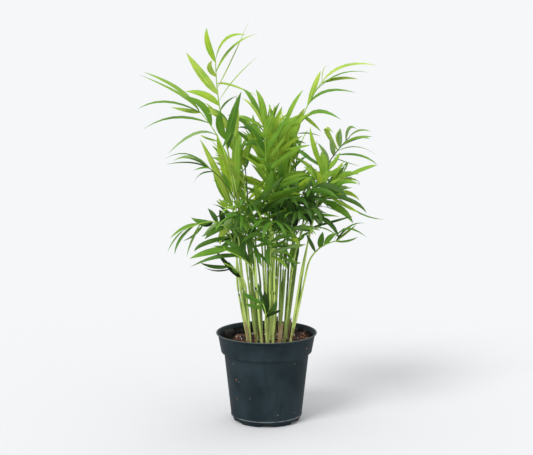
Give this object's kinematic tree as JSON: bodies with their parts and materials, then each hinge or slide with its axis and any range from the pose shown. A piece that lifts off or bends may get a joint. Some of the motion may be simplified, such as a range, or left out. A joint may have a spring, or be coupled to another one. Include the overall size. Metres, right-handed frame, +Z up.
{
  "type": "parlour palm in pot",
  "caption": "Bushy parlour palm: slender green canes that carry arching feathered fronds, rooted in a round dark nursery pot that stands flat.",
  "frame": {"origin": "centre of the pot's flat underside", "axes": "+Z up along the pot's axis, +X to the right and -Y to the front as the picture sees it"},
  "size_m": [0.2577, 0.2332, 0.4258],
  "materials": {
    "pot": "thin blue-black moulded plastic, satin, a little scuffed",
    "potting_mix": "moist reddish-brown fibre and bark with white grains",
    "cane": "smooth pale yellow-green stem with dry tan sheaths at the foot",
    "leaf_young": "soft satin yellow-green leaf",
    "leaf_grown": "satin mid-green leaf",
    "leaf_old": "satin deep green leaf",
    "leaf_dull": "dull bluish-green leaf"
  },
  "bodies": {
    "root": {"pot": "pot", "potting_mix": "potting_mix", "cane_01": "cane", "cane_02": "cane", "cane_03": "cane", "cane_04": "cane", "cane_05": "cane", "cane_06": "cane", "cane_07": "cane", "cane_08": "cane", "cane_09": "cane", "cane_10": "cane", "cane_11": "cane", "cane_12": "cane", "cane_13": "cane", "cane_14": "cane", "frond_crest": "leaf_young", "frond_west_wing": "leaf_young", "frond_west_low": "leaf_old", "frond_young_fan": "leaf_young", "frond_shoulder": "leaf_grown", "frond_low_west": "leaf_grown", "frond_lowest_west": "leaf_grown", "frond_centre": "leaf_grown", "frond_centre_right": "leaf_young", "frond_east_crest": "leaf_young", "frond_east_behind": "leaf_dull", "frond_east_front": "leaf_young", "frond_east_side": "leaf_grown", "frond_east_low": "leaf_grown", "frond_middle_low": "leaf_old", "frond_cross": "leaf_old", "frond_heart": "leaf_grown", "frond_heart_left": "leaf_grown", "frond_juvenile": "leaf_grown", "frond_back_crest": "leaf_grown", "frond_back_left": "leaf_grown", "frond_back_right": "leaf_grown", "frond_back_low": "leaf_old", "frond_back_low_left": "leaf_grown", "frond_back_low_right": "leaf_grown", "frond_back_shoulder": "leaf_old", "frond_east_shoulder": "leaf_old", "frond_west_back": "leaf_grown", "frond_west_high": "leaf_grown", "frond_inner_upright": "leaf_grown", "frond_inner_left": "leaf_old", "frond_inner_right": "leaf_old", "frond_front_low": "leaf_grown", "frond_front_right": "leaf_old", "frond_front_left": "leaf_grown", "frond_east_mid": "leaf_grown", "frond_heart_right": "leaf_old", "frond_middle_dark": "leaf_old", "frond_back_middle": "leaf_old"}
  },
  "joints": []
}
